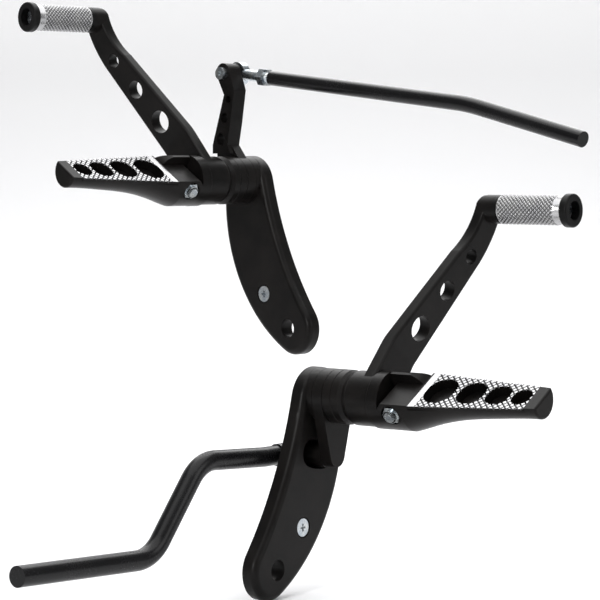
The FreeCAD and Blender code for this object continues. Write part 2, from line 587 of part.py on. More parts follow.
def make_peg(name, side):
    spot = Placement(Vector(), Rotation(Vector(1, 0, 0), number("peg_tilt")))
    body = new_body(name + "_peg")
    root = peg_section(body, side, "peg_pivot-ear_radius", "root_wide", "root_deep")
    pad(body, root, "root_end-peg_pivot+ear_radius", back=side < 0)
    loft = body.newObject("PartDesign::AdditiveLoft", "loft")
    loft.Profile = peg_section(body, side, "root_end", "root_wide", "root_deep")
    sections = [peg_section(body, side, w + "_at", w + "_wide", w + "_deep") for w in WAISTS]
    loft.Sections = sections + [peg_section(body, side, "peg_end", "tip_wide", "tip_deep")]
    doc.recompute()
    tip = number("peg_end") - 1e-3
    round_edges(body, lambda e: min(abs(v.X) for v in e.Vertexes) > tip, "end_round")
    high = "mount_radius*2"
    swing = "(sqrt((lug_top-pivot_high)^2+lug_reach^2)+lap_gap)"
    rim = "sqrt(%s^2-(pad_high-pivot_high)^2)" % swing
    lap = flipped(side, [
        ("0", "-" + high), ("peg_pivot", "-" + high), ("peg_pivot", "pivot_high-" + swing, swing, 1, False),
        ("peg_pivot+" + swing, "pivot_high", swing, 1, False), ("peg_pivot+" + rim, "pad_high"),
        ("peg_pivot+" + rim, high), ("0", high)])
    pocket_y(body, high, high + "-lap_y", lambda sketch: add_loop(sketch, lap))
    shoulder = "sqrt(ear_radius^2-(pad_high-pivot_high)^2)"
    crown = flipped(side, [
        ("0", high), ("0", "pivot_high"), ("peg_pivot-ear_radius", "pivot_high", "ear_radius", -1, False),
        ("peg_pivot-" + shoulder, "pad_high"), ("peg_pivot-" + shoulder, high)])
    pocket_y(body, high, high + "*2", lambda sketch: add_loop(sketch, crown))
    centre = (mirrored(side, "peg_pivot"), "pivot_high")
    pocket_y(body, high, high + "*2", ring(centre, "peg_bolt_dia/2+fit_gap"))
    pocket_y(body, "-nut_floor", high, ring(centre, "peg_sink_dia/2"))
    bed = new_sketch(body, "XY_Plane", "pad_high")
    add_loop(bed, flipped(side, [("pad_start", "-" + high), ("pad_end", "-" + high), ("pad_end", high),
                                 ("pad_start", high)]))
    pocket(body, bed, "pad_thick")
    for hole in PAD_HOLES:
        well = new_sketch(body, "XY_Plane", "pad_high-pad_thick")
        add_loop(well, oval(side, hole + "_at", hole + "_half", hole + "_tall"))
        pocket(body, well, "recess_depth")
    finish(body, side, spot)
    plate = new_body(name + "_peg_pad")
    face = new_sketch(plate, "XY_Plane", "pad_high-pad_thick")
    add_loop(face, flipped(side, [("pad_start", "-pad_wide"), ("pad_end", "-pad_wide_end"),
                                  ("pad_end", "pad_wide_end"), ("pad_start", "pad_wide")]))
    for hole in PAD_HOLES:
        add_loop(face, oval(side, hole + "_at", hole + "_half", hole + "_tall"))
    pad(plate, face, "pad_thick")
    finish(plate, side, spot)
    bolt = new_body(name + "_peg_bolt")
    seat = "(mount_radius-head_sink)"
    pad_y(bolt, seat, seat + "+nut_floor+nut_high+nut_collar+peg_bolt_end", ring(centre, "peg_bolt_dia/2"))
    pad_y(bolt, seat + "+peg_head_high", "peg_head_high", ring(centre, "peg_head_dia/2"))
    pocket_y(bolt, seat + "+peg_head_high", "key_deep", hexagon("key_flat", centre))
    finish(bolt, side, spot)
    nut = new_body(name + "_peg_nut")
    outline = new_sketch(nut, "XZ_Plane", "nut_floor")
    hexagon("nut_flat", centre)(outline)
    add_circle(outline, centre, "peg_bolt_dia/2")
    pad(nut, outline, "nut_high")
    pad_y(nut, "-nut_floor-nut_high", "nut_collar", ring(centre, "peg_bolt_dia/2", "nut_collar_dia/2"))
    finish(nut, side, spot)


def arm_outline(reach_y, reach_z, root, tip):
    """A blade from the hub's circle to a round tip, with its sides tangent to both."""
    reach = "sqrt((%s)^2+(%s)^2)" % (reach_y, reach_z)
    aim = "atan2(%s;%s)" % (reach_z, reach_y)
    slope = "asin((%s-%s)/%s)" % (root, tip, reach)
    spots = []
    for centre, radius in ((("0", "0"), root), ((reach_y, reach_z), tip)):
        for sign in ("+", "-"):
            angle = "%s%s(90 deg-%s)" % (aim, sign, slope)
            spots.append(("%s+%s*cos(%s)" % (centre[0], radius, angle),
                          "%s+%s*sin(%s)" % (centre[1], radius, angle)))
    left_root, right_root, left_tip, right_tip = spots
    return [left_root + (root, 1, True), right_root, right_tip + (tip, 1, False), left_tip]


def make_brake_linkage(name, side):
    arm = new_body(name + "_brake_arm")
    start = "boss_long+run_gap"
    end = ("0", "-brake_reach")
    pad_x(arm, side, start, "arm_thick",
          lambda sketch: add_loop(sketch, arm_outline(end[0], end[1], "hub_radius", "brake_end_radius")))
    wall = "pivot_dia/2+bush_wall+fit_gap"
    pocket_x(arm, side, start + "+arm_thick", "arm_thick", ring(("0", "0"), wall))
    pocket_x(arm, side, start + "+arm_thick", "arm_thick", ring(end, "stud_dia/2"))
    finish(arm, side)
    spot = Placement(Vector(0, 0, -number("brake_reach")), Rotation())
    outer, eye = start + "+arm_thick", "-rod_inboard"
    rear = eye + "-eye_thick/2"
    low = rear + "-washer_thick-end_proud"
    shoulder = eye + "+eye_thick/2+run_gap"
    cover = "-plate_thick-run_gap"
    turned(name + "_brake_stud", side, [
        (low, "0"), (low, "stud_dia/2"), (shoulder, "stud_dia/2"), (shoulder, "stud_head_dia/2"),
        (cover + "-flange_thick", "stud_head_dia/2"), (cover + "-flange_thick", "flange_dia/2"),
        (cover, "flange_dia/2"), (cover, "stud_head_dia/2"), (start, "stud_head_dia/2"), (start, "stud_dia/2"),
        (outer, "stud_dia/2"), (outer, "0")], spot)
    turned(name + "_brake_washer", side, [
        (rear, "stud_dia/2"), (rear, "washer_dia/2"), (rear + "-washer_thick", "washer_dia/2"),
        (rear + "-washer_thick", "stud_dia/2")], spot)
    body = new_body(name + "_brake_eye")
    pad_x(body, side, rear, "eye_thick", ring(end, "eye_radius"))
    pad_y_at(body, side, eye, "-eye_neck", "eye_shank-eye_neck", end[1], "eye_shank_dia/2")
    pocket_x(body, side, eye + "+eye_thick/2", "eye_thick", ring(end, "stud_dia/2+fit_gap"))
    finish(body, side)
    x = side * number(eye)
    points = [Vector(x, -number(y), -number(z)) for y, z in (
        ("eye_shank", "brake_reach"), ("brake_bend_y", "brake_bend_z"), ("brake_drop_y", "brake_drop_z"),
        ("brake_end_y", "brake_end_z"))]
    points[0:1] = [points[0], points[0] + Vector(0, -number("brake_rod_dia"), 0)]
    rod = doc.addObject("Part::Feature", name + "_brake_rod")
    rod.Label = name + "_brake_rod"
    rod.Shape = rod_along(points, number("brake_rod_bend"), number("brake_rod_dia"))
    finish(rod, side)


def pad_y_at(body, side, x, start, length, z, radius):
    """A round boss along y at the given x and z, from y = start towards -y."""
    sketch = new_sketch(body, "XZ_Plane", "-(%s)" % start)
    add_circle(sketch, (mirrored(side, x), z), radius)
    return pad(body, sketch, length)


def make_shift_linkage(name, side):
    arm = new_body(name + "_shift_arm")
    start = "boss_long+run_gap"
    link = ("link_y", "link_z")
    pad_x(arm, side, start, "arm_thick", ring(("0", "0"), "hub_radius"))
    crown = [("link_y+shift_tip", "link_z", "shift_tip", 1, False),
             ("link_y", "link_z+shift_tip", "shift_tip", 1, False), ("link_y-shift_tip", "link_z"),
             ("arm_kink_rear_y", "arm_kink_rear_z"), ("arm_rear_mid", "arm_mid_z"),
             ("arm_rear_low", "arm_low_z")]
    rise = [("arm_kink_front_y", "arm_kink_front_z")]
    root = [("-arm_root*sin(arm_root_rear)", "arm_root*cos(arm_root_rear)"),
            ("arm_root*cos(arm_root_front)", "arm_root*sin(arm_root_front)"),
            ("arm_front_low", "arm_low_z")]
    pad_x(arm, side, start, "arm_thick", lambda sketch: add_loop(sketch, crown + root + rise))
    foot = [("arm_rear_low-(arm_low_z-shift_step)*foot_slope", "shift_step"),
            ("arm_front_low", "shift_step"), ("arm_front_low", "arm_low_z")]
    pad_x(arm, side, start, "shift_thick", lambda sketch: add_loop(sketch, crown + foot + rise))
    wall = "pivot_dia/2+bush_wall+fit_gap"
    pocket_x(arm, side, start + "+arm_thick", "arm_thick", ring(("0", "0"), wall))
    face = start + "+shift_thick"
    pocket_x(arm, side, face, "shift_thick", ring(link, "link_bolt_dia/2"))
    for hole in ("arm_hole_a", "arm_hole_b", "arm_hole_c"):
        pocket_x(arm, side, face, "shift_thick", ring((hole + "_y", hole + "_z"), hole + "_dia/2"))
    finish(arm, side)
    fall = math.degrees(math.atan2(number("link_z-shift_bend_z"), number("link_y+shift_bend_y")))
    eye = start + "-link_gap-ball_wide/2"
    centre = Vector(side * number(eye), number("link_y"), number("link_z"))
    spot = Placement(centre, Rotation(Vector(1, 0, 0), fall))
    upright = Placement(Vector(0, centre.y, centre.z), Rotation())
    half = "sqrt(ball_dia^2/4-ball_wide^2/4)"
    turned(name + "_rod_end_ball", side, [
        ("-ball_wide/2", "link_bolt_dia/2+fit_gap"), ("-ball_wide/2", half, "ball_dia/2", -1, False),
        ("ball_wide/2", half), ("ball_wide/2", "link_bolt_dia/2+fit_gap")], spot)
    body = new_body(name + "_rod_end")
    pad_x(body, side, "-end_wide/2", "end_wide", ring(("0", "0"), "end_ring"))
    pad_y_at(body, side, "0", "-end_neck", "shank_long-end_neck", "0", "shank_dia/2")
    pad_y_at(body, side, "0", "-shank_long", "rod_start-shank_long", "0", "thread_dia/2")
    seat = new_sketch(body, "XY_Plane")
    wide = "sqrt((ball_dia/2+ball_gap)^2-end_wide^2/4)"
    groove = body.newObject("PartDesign::Groove", "seat")
    beside, inside = "end_wide/2+end_proud", wide + "-end_proud"
    add_loop(seat, flipped(side, [
        ("-(%s)" % beside, "0"), ("-(%s)" % beside, inside),
        ("-end_wide/2", wide, "ball_dia/2+ball_gap", -1, False), ("end_wide/2", wide), (beside, inside),
        (beside, "0")]))
    groove.Profile = seat
    groove.ReferenceAxis = (seat, ["H_Axis"])
    groove.Angle = 360.0
    doc.recompute()
    finish(body, side, spot)
    nut = new_body(name + "_jam_nut")
    sketch = new_sketch(nut, "XZ_Plane", "shank_long")
    hexagon("jam_flat")(sketch)
    add_circle(sketch, ("0", "0"), "thread_dia/2")
    pad(nut, sketch, "jam_high")
    finish(nut, side, spot)
    top = face + "+link_head_high"
    bottom = eye + "-ball_wide/2-link_nut_high-end_proud"
    bolt = turned(name + "_link_bolt", side, [
        (bottom, "0"), (bottom, "link_bolt_dia/2"), (face, "link_bolt_dia/2"), (face, "link_head_dia/2"),
        (top, "link_head_dia/2"), (top, "0")], upright)
    pocket_x(bolt, side, top, "link_key_deep", hexagon("link_key"))
    lock = new_body(name + "_link_nut")

    def lock_outline(sketch):
        hexagon("link_nut_flat")(sketch)
        add_circle(sketch, ("0", "0"), "link_bolt_dia/2")
    pad_x(lock, side, eye + "-ball_wide/2-link_nut_high", "link_nut_high", lock_outline)
    finish(lock, side, upright)
    down = Vector(0, -math.cos(math.radians(fall)), -math.sin(math.radians(fall)))
    first = spot.Base + down * number("rod_start")
    points = [first, Vector(first.x, -number("shift_bend_y"), number("shift_bend_z")),
              Vector(first.x, -number("shift_end_y"), number("shift_end_z"))]
    rod = doc.addObject("Part::Feature", name + "_shift_rod")
    rod.Label = name + "_shift_rod"
    rod.Shape = rod_along(points, number("shift_rod_bend"), number("shift_rod_dia"))
    finish(rod, side)


for name, side in SIDES.items():
    make_bracket(name, side)
    make_screw(name, side)
    make_hub(name, side)
    finish_lever(make_lever(name, side), name, side)
    make_toe_peg(name, side)
    make_peg_mount(name, side)
    make_peg(name, side)
make_brake_linkage("right", SIDES["right"])
make_shift_linkage("left", SIDES["left"])

doc.recompute()
for thing in doc.Objects:
    bad = [s for s in thing.State if s in ("Invalid", "Error")]
    if bad:
        raise RuntimeError("%s (%s) is %s" % (thing.Label, thing.Name, bad))
os.makedirs("parts", exist_ok=True)
for node in NODES:
    if node.Shape.isNull() or not node.Shape.isValid() or not node.Shape.Solids:
        raise RuntimeError(node.Label + " has no valid solid")
    node.Shape.exportStep("parts/%s.step" % node.Label)
    box = node.Shape.BoundBox
    print("%-24s %8.1f mm3  x %.1f..%.1f y %.1f..%.1f z %.1f..%.1f" % (
        node.Label, node.Shape.Volume, box.XMin, box.XMax, box.YMin, box.YMax, box.ZMin, box.ZMax))
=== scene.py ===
# %% [markdown]
# # Forward controls for a motorcycle
# The part is a pair of foot controls: the brake side at the lower right and the shift side at the
# upper left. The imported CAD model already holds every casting, bolt and rod in its place, so this
# lesson dresses it: it sets the camera, lights the stage, mixes the finishes, and rebuilds the
# surfaces whose fine relief a plain solid can't carry.

# %% Load the frame
import json
import math

import bpy
import numpy as np
from mathutils import Matrix, Vector


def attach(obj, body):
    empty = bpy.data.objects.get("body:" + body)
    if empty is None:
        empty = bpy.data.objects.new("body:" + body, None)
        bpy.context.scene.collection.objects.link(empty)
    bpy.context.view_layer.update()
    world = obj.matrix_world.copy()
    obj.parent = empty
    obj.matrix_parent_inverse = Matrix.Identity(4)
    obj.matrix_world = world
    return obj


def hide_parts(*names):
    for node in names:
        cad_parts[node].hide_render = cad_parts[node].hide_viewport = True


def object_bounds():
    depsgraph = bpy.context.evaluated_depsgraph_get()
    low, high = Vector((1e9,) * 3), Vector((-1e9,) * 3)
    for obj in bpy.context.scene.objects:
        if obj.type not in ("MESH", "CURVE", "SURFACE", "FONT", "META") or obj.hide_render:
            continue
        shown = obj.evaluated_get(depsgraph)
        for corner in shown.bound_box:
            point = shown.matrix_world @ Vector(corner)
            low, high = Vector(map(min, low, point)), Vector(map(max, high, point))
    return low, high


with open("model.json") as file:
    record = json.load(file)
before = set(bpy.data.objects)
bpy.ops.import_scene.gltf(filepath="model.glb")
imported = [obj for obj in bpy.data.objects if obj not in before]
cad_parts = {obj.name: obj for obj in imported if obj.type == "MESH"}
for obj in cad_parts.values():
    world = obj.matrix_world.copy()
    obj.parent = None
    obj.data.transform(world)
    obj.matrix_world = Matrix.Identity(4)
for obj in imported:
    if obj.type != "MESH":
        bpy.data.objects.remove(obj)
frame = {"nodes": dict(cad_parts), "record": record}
NODES = frame["nodes"]
RECORD = frame["record"]
CAD_BOX = [list(corner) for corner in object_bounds()]
print("CAD nodes:", len(NODES), "box:", CAD_BOX)

# %% [markdown]
# ## Two sides, one set of sizes
# Both sides are the same design, mirrored. Points are easiest to think of in a side's own frame: x
# runs outboard along the hub, y forwards and z up, in millimetres, with the hub's centre on the
# bracket's outer face as zero. One small function then puts arrays of such points into the set.

# %% Place a side's own points in the set
MM = 0.001
SIDE_ORIGIN = {"right": np.array([12.5, 56.2, 128.5]), "left": np.array([-217.2, 241.4, 290.3])}
LEFT_TURN = math.radians(80.7)
PEG_TILT = math.radians(31.0)


def in_set(points, side):
    """Side points (mm) to set points (m): on the left, mirror x and turn about z; then shift."""
    x, y, z = np.moveaxis(np.asarray(points, float), -1, 0)
    if side == "left":
        x, y = (-x * math.cos(LEFT_TURN) - y * math.sin(LEFT_TURN),
                -x * math.sin(LEFT_TURN) + y * math.cos(LEFT_TURN))
    return (np.stack([x, y, z], -1) + SIDE_ORIGIN[side]) * MM


def on_peg(points):
    """Points of the tilted foot peg's frame to side points: a turn about x."""
    x, y, z = np.moveaxis(np.asarray(points, float), -1, 0)
    c, s = math.cos(PEG_TILT), math.sin(PEG_TILT)
    return np.stack([x, y * c - z * s, y * s + z * c], -1)


print("left hub in the set (m):", in_set([0, 0, 0], "left"))

# %% [markdown]
# ## The camera
# The photograph is taken from a little above the hubs with a long lens, so that near and far sides
# look almost the same size. The direction comes from matching known lengths on both sides.

# %% Camera
TOWARDS = Vector((0.6145, -0.7865, 0.0610)).normalized()
RIGHT = Vector((0, 0, 1)).cross(TOWARDS).normalized()
UP = TOWARDS.cross(RIGHT)
CAMERA_AT = (1.130, -1.4033, 0.314)
camera_data = bpy.data.cameras.new("long_lens")
camera_data.lens = 144.0
camera_data.sensor_width = 36.0
camera_data.clip_end = 50.0
camera = bpy.data.objects.new("camera", camera_data)
turn = Matrix((RIGHT, UP, TOWARDS)).transposed().to_4x4()
camera.matrix_world = Matrix.Translation(CAMERA_AT) @ turn
bpy.context.scene.collection.objects.link(camera)
bpy.context.scene.camera = camera
print("camera looks along", tuple(round(c, 3) for c in -TOWARDS))

# %% [markdown]
# ## Surfaces from arrays
# A turned or milled surface is a formula over two counters, so it could be drawn by hand, swept by a
# modifier or computed. Here whole arrays of points are computed and joined by the quads of a grid.
# A closed piece is turned outwards by the sign of its volume.

# %% Meshes from point grids
def grid_faces(rows, columns, wrap_rows=False, wrap_columns=False):
    """The quads of a grid of points, row after row; a wrapped side joins its last line to its first."""
    r = np.arange(rows if wrap_rows else rows - 1)[:, None]
    c = np.arange(columns if wrap_columns else columns - 1)[None, :]
    below, beside = (r + 1) % rows, (c + 1) % columns
    quads = np.stack([r * columns + c, r * columns + beside,
                      below * columns + beside, below * columns + c], -1)
    return quads.reshape(-1, 4)


def outward(points, faces):
    """Faces of a closed piece, turned so that its volume, a sum of wedges from zero, is positive."""
    corner = points[faces]
    fan = np.cross(corner[:, 1:-1], corner[:, 2:])
    wedges = np.einsum("fk,fjk->f", corner[:, 0], fan)
    return faces if wedges.sum() > 0 else faces[:, ::-1]


def mesh_piece(name, points, faces, sharp_degrees=35.0):
    """A smooth mesh object from arrays of points (m) and faces, with its steep edges kept sharp."""
    points = np.asarray(points, float).reshape(-1, 3)
    mesh = bpy.data.meshes.new(name)
    mesh.from_pydata(points, [], np.asarray(faces).tolist())
    mesh.polygons.foreach_set("use_smooth", np.ones(len(mesh.polygons), bool))
    mesh.set_sharp_from_angle(angle=math.radians(sharp_degrees))
    mesh.update()
    piece = bpy.data.objects.new(name, mesh)
    bpy.context.scene.collection.objects.link(piece)
    return piece


def wrapped_piece(name, grid, sharp_degrees):
    """A closed piece from a grid of points that wraps both ways, as a ring does."""
    faces = grid_faces(grid.shape[0], grid.shape[1], True, True)
    return mesh_piece(name, grid, outward(grid.reshape(-1, 3), faces), sharp_degrees)


print("a square of four points:", grid_faces(2, 2).tolist())

# %% [markdown]
# ## Floor sweep
# In a studio the part stands on paper that bends up behind it, so no horizon cuts through the
# picture. The sweep is a coarse grid, level under the part and rising behind it, smoothed by
# subdivision.

# %% Floor sweep
FLOOR_DROP, SMOOTHING = 0.0005, 2
floor_level = CAD_BOX[0][2] - FLOOR_DROP
along = np.array([-3.0, -0.5, 0.6, 1.2, 1.7, 2.1, 2.4, 2.6, 2.65, 2.7])
rise = np.array([0.0, 0.0, 0.0, 0.02, 0.09, 0.25, 0.5, 0.9, 1.6, 3.2])
across = np.linspace(-4, 4, 9)
back = np.array([-TOWARDS.x, -TOWARDS.y, 0]) / math.hypot(TOWARDS.x, TOWARDS.y)
sweep = (along[:, None, None] * back + across[None, :, None] * np.array(RIGHT)
         + (rise[:, None, None] + floor_level) * np.array([0, 0, 1]))
floor = mesh_piece("floor_sweep", sweep, grid_faces(len(along), len(across)))
floor.modifiers.new("soft", "SUBSURF").levels = SMOOTHING
floor.modifiers["soft"].render_levels = SMOOTHING
print("floor level:", round(floor_level, 4))

# %% [markdown]
# ## Light
# Satin black shows its form only through what it reflects, so the light comes from broad soft panels:
# one above, one from the front left that draws a pale line along every rounded edge, a weaker fill
# from the right, and one behind that the bright pads mirror.

# %% Soft panels
ROOM_LIGHT = 0.3
CENTRE = Vector((-0.03, 0.1, 0.2))
world = bpy.data.worlds.new("studio")
bpy.context.scene.world = world
world.use_nodes = True
world.node_tree.nodes["Background"].inputs["Color"].default_value = (1, 1, 1, 1)
world.node_tree.nodes["Background"].inputs["Strength"].default_value = ROOM_LIGHT
bpy.context.scene.view_settings.view_transform = "Standard"


def soft_panel(name, towards, distance, size, power):
    """A square area light that faces the part from the given direction."""
    data = bpy.data.lights.new(name, "AREA")
    data.size = size
    data.energy = power
    light = bpy.data.objects.new(name, data)
    aim = Vector(towards).normalized()
    light.location = CENTRE + aim * distance
    light.rotation_euler = aim.to_track_quat("Z", "Y").to_euler()
    bpy.context.scene.collection.objects.link(light)


FRONT_LEFT = TOWARDS - RIGHT * 0.6 + Vector((0, 0, 0.3))
FRONT_RIGHT = TOWARDS * 0.5 + RIGHT * 1.0 + Vector((0, 0, 0.4))
soft_panel("panel_above", (0.1, -0.1, 1.0), distance=1.6, size=2.2, power=34)
soft_panel("panel_left", FRONT_LEFT, distance=1.9, size=0.5, power=15)
soft_panel("panel_right", FRONT_RIGHT, distance=1.9, size=1.0, power=8)
soft_panel("panel_behind", (-0.4, 0.52, 0.72), distance=1.7, size=1.5, power=20)

# %% [markdown]
# ## Shared skins
# Every finish here is a colour, a gloss and a fine relief that wander a little over the surface. One
# node group makes that wandering, from noise at two scales, so each material only sets how coarse and
# how strong it is. It reads Object coordinates, which are metres in the set.

# %% Group: wandering skin
DRIFT_SHARE, GRAIN_SHARE = 0.6, 0.4


def group_tree(name, inputs, outputs):
    """A shader group with named float inputs and outputs, and its two end nodes."""
    tree = bpy.data.node_groups.new(name, "ShaderNodeTree")
    kind = "NodeSocketFloat"
    for label, value in inputs.items():
        socket = tree.interface.new_socket(label, in_out="INPUT", socket_type=kind)
        socket.default_value = value
    for label in outputs:
        tree.interface.new_socket(label, in_out="OUTPUT", socket_type=kind)
    return tree, tree.nodes.new("NodeGroupInput"), tree.nodes.new("NodeGroupOutput")


def add_node(tree, kind, **values):
    """A node with its named input values, or its own properties, set."""
    node = tree.nodes.new(kind)
    for key, value in values.items():
        if key in node.inputs:
            node.inputs[key].default_value = value
        else:
            setattr(node, key, value)
    return node


def math_node(tree, operation, first, second=None, third=None):
    """A Math node whose inputs are sockets or plain numbers."""
    node = add_node(tree, "ShaderNodeMath", operation=operation)
    for socket, value in zip(node.inputs, (first, second, third)):
        if value is None:
            continue
        if isinstance(value, bpy.types.NodeSocket):
            tree.links.new(value, socket)
        else:
            socket.default_value = value
    return node.outputs[0]


def wandering_skin():
    """Shade drifts broadly; Grain is fine relief; Gloss mixes both between its two ends."""
    tree, ins, outs = group_tree(
        "wandering_skin",
        {"Drift scale": 30.0, "Grain scale": 1600.0, "Gloss low": 0.35, "Gloss high": 0.5},
        ("Shade", "Grain", "Gloss"))
    place = add_node(tree, "ShaderNodeTexCoord").outputs["Object"]
    drift = add_node(tree, "ShaderNodeTexNoise", Detail=4.0, Roughness=0.6)
    grain = add_node(tree, "ShaderNodeTexNoise", Detail=3.0, Roughness=0.55)
    for noise, scale in ((drift, "Drift scale"), (grain, "Grain scale")):
        tree.links.new(place, noise.inputs["Vector"])
        tree.links.new(ins.outputs[scale], noise.inputs["Scale"])
    mixed = math_node(tree, "MULTIPLY_ADD", grain.outputs["Fac"], GRAIN_SHARE,
                      math_node(tree, "MULTIPLY", drift.outputs["Fac"], DRIFT_SHARE))
    span = math_node(tree, "SUBTRACT", ins.outputs["Gloss high"], ins.outputs["Gloss low"])
    gloss = math_node(tree, "MULTIPLY_ADD", mixed, span, ins.outputs["Gloss low"])
    tree.links.new(drift.outputs["Fac"], outs.inputs["Shade"])
    tree.links.new(grain.outputs["Fac"], outs.inputs["Grain"])
    tree.links.new(gloss, outs.inputs["Gloss"])
    return tree


SKIN = wandering_skin()
print("group:", SKIN.name, "nodes:", len(SKIN.nodes))

# %% [markdown]
# ## Finishes
# The castings are powder coated, the rods painted, the caps plastic, the sleeves and pads bare
# aluminium, the bolts zinc plated and the bushes bronze. Each is the same Principled shader on the
# shared skin, with its own colours, gloss and grain, so one function makes them all.

# %% A material on that skin
RAMP_FROM, RAMP_TO = 0.35, 0.65


def finish_on_skin(name, dark, light, gloss, drift_scale, grain_scale, relief_mm,
                   metal=0.0, mirror=0.5):
    """A Principled finish: colour between dark and light, gloss between two values, grain as bump."""
    material = bpy.data.materials.new(name)
    material.use_nodes = True
    tree = material.node_tree
    shader = tree.nodes["Principled BSDF"]
    shader.inputs["Metallic"].default_value = metal
    shader.inputs["Specular IOR Level"].default_value = mirror
    skin = add_node(tree, "ShaderNodeGroup", node_tree=SKIN)
    for label, value in (("Drift scale", drift_scale), ("Grain scale", grain_scale),
                         ("Gloss low", gloss[0]), ("Gloss high", gloss[1])):
        skin.inputs[label].default_value = value
    ramp = add_node(tree, "ShaderNodeValToRGB")
    for stop, colour, position in zip(ramp.color_ramp.elements, (dark, light), (RAMP_FROM, RAMP_TO)):
        stop.color = (*colour, 1)
        stop.position = position
    tree.links.new(skin.outputs["Shade"], ramp.inputs["Fac"])
    tree.links.new(ramp.outputs["Color"], shader.inputs["Base Color"])
    tree.links.new(skin.outputs["Gloss"], shader.inputs["Roughness"])
    bump = add_node(tree, "ShaderNodeBump", Strength=1.0, Distance=relief_mm * MM)
    tree.links.new(skin.outputs["Grain"], bump.inputs["Height"])
    tree.links.new(bump.outputs["Normal"], shader.inputs["Normal"])
    return material


FINISH = {
    "black_casting": finish_on_skin(
        "satin_black_casting", dark=(0.0032, 0.0029, 0.0028), light=(0.0065, 0.0056, 0.0052),
        gloss=(0.3, 0.42), drift_scale=45, grain_scale=1900, relief_mm=0.03, mirror=0.11),
    "black_cap": finish_on_skin(
        "black_cap", dark=(0.003, 0.003, 0.003), light=(0.005, 0.005, 0.005),
        gloss=(0.32, 0.44), drift_scale=60, grain_scale=2200, relief_mm=0.02, mirror=0.12),
    "black_rod": finish_on_skin(
        "semi_gloss_black_rod", dark=(0.003, 0.003, 0.0034), light=(0.005, 0.005, 0.0055),
        gloss=(0.22, 0.32), drift_scale=25, grain_scale=700, relief_mm=0.02, mirror=0.2),
    "bright_aluminium": finish_on_skin(
        "bright_aluminium", dark=(0.34, 0.34, 0.35), light=(0.41, 0.41, 0.41),
        gloss=(0.22, 0.32), drift_scale=120, grain_scale=2400, relief_mm=0.01, metal=1.0),
    "zinc_steel": finish_on_skin(
        "zinc_plated_steel", dark=(0.36, 0.40, 0.44), light=(0.52, 0.54, 0.54),
        gloss=(0.2, 0.34), drift_scale=160, grain_scale=2600, relief_mm=0.012, metal=1.0),
    "bronze_bush": finish_on_skin(
        "bronze_bush", dark=(0.42, 0.28, 0.13), light=(0.55, 0.38, 0.2),
        gloss=(0.3, 0.45), drift_scale=90, grain_scale=2000, relief_mm=0.01, metal=1.0),
}
print("finishes:", list(FINISH))

# %% [markdown]
# ## Shade in the grooves
# Cut grooves see little of the room, so they look darker than the lands between them. Each toothed
# piece carries the depth of its grooves as a point value, and its finish's colour turns darker with
# that value, towards near black: this is painted shade in the grooves.

# %% Shade in the grooves
# Painted shade in the grooves: how strongly the groove depth darkens the colour, and the near black it
# darkens to.
GROOVE_SHADE, PAINTED_GROOVE_SHADE_COLOUR = 0.95, (0.01, 0.01, 0.01, 1)


def mark_grooves(piece, depth):
    """Keep each point's groove depth, from 0 to 1, on the mesh, as the mask of the painted groove shade.
    """
    values = piece.data.attributes.new("groove", "FLOAT", "POINT")
    values.data.foreach_set("value", np.ascontiguousarray(depth, np.float32).ravel())


def with_painted_groove_shade(finish, name):
    """A copy of a metal finish whose colour falls to near black with the groove depth: painted shade."""
    material = finish.copy()
    material.name = name
    tree = material.node_tree
    base = tree.nodes["Principled BSDF"].inputs["Base Color"]
    depth = add_node(tree, "ShaderNodeAttribute", attribute_name="groove").outputs["Fac"]
    mixed = add_node(tree, "ShaderNodeMixRGB", Color2=PAINTED_GROOVE_SHADE_COLOUR)
    tree.links.new(base.links[0].from_socket, mixed.inputs["Color1"])
    tree.links.new(math_node(tree, "MULTIPLY", depth, GROOVE_SHADE), mixed.inputs["Fac"])
    tree.links.new(mixed.outputs["Color"], base)
    return material


# Bright aluminium with painted shade darkening its grooves.
PAINTED_SHADE_ALUMINIUM = with_painted_groove_shade(FINISH["bright_aluminium"], "aluminium_with_painted_groove_shade")
print("grooves darken by", GROOVE_SHADE)

# %% [markdown]
# ## Backdrop paper
# A paper backdrop loses light with height, so its upper part is given a painted glow, an emission
# that climbs with height and keeps the picture white to its top. Seen from its back the paper is
# clear, so that the set can be looked at from behind as well.

# %% Backdrop paper
# Painted glow on the upper paper: the height it starts at, the height it climbs over, and its strength.
GLOW_FROM, GLOW_OVER, GLOW = 0.1, 0.9, 0.4
PAPER_COLOUR, PAPER_ROUGHNESS = (0.86, 0.86, 0.87, 1), 0.9


def paper_with_painted_glow():
    """Matt paper whose painted glow climbs from nothing at one height to its most at another; clear
    behind.
    """
    material = bpy.data.materials.new("paper_painted_glow")
    material.use_nodes = True
    tree = material.node_tree
    shader = tree.nodes["Principled BSDF"]
    shader.inputs["Base Color"].default_value = PAPER_COLOUR
    shader.inputs["Roughness"].default_value = PAPER_ROUGHNESS
    shader.inputs["Emission Color"].default_value = (1, 1, 1, 1)
    place = add_node(tree, "ShaderNodeTexCoord").outputs["Object"]
    height = add_node(tree, "ShaderNodeSeparateXYZ")
    tree.links.new(place, height.inputs[0])
    above = math_node(tree, "SUBTRACT", height.outputs["Z"], GLOW_FROM)
    climb = math_node(tree, "MAXIMUM", math_node(tree, "DIVIDE", above, GLOW_OVER), 0.0)
    share = math_node(tree, "MINIMUM", climb, 1.0)
    tree.links.new(math_node(tree, "MULTIPLY", share, GLOW), shader.inputs["Emission Strength"])
    behind = add_node(tree, "ShaderNodeNewGeometry").outputs["Backfacing"]
    tree.links.new(math_node(tree, "SUBTRACT", 1.0, behind), shader.inputs["Alpha"])
    return material


floor.data.materials.append(paper_with_painted_glow())
print("paper glows up to", GLOW)

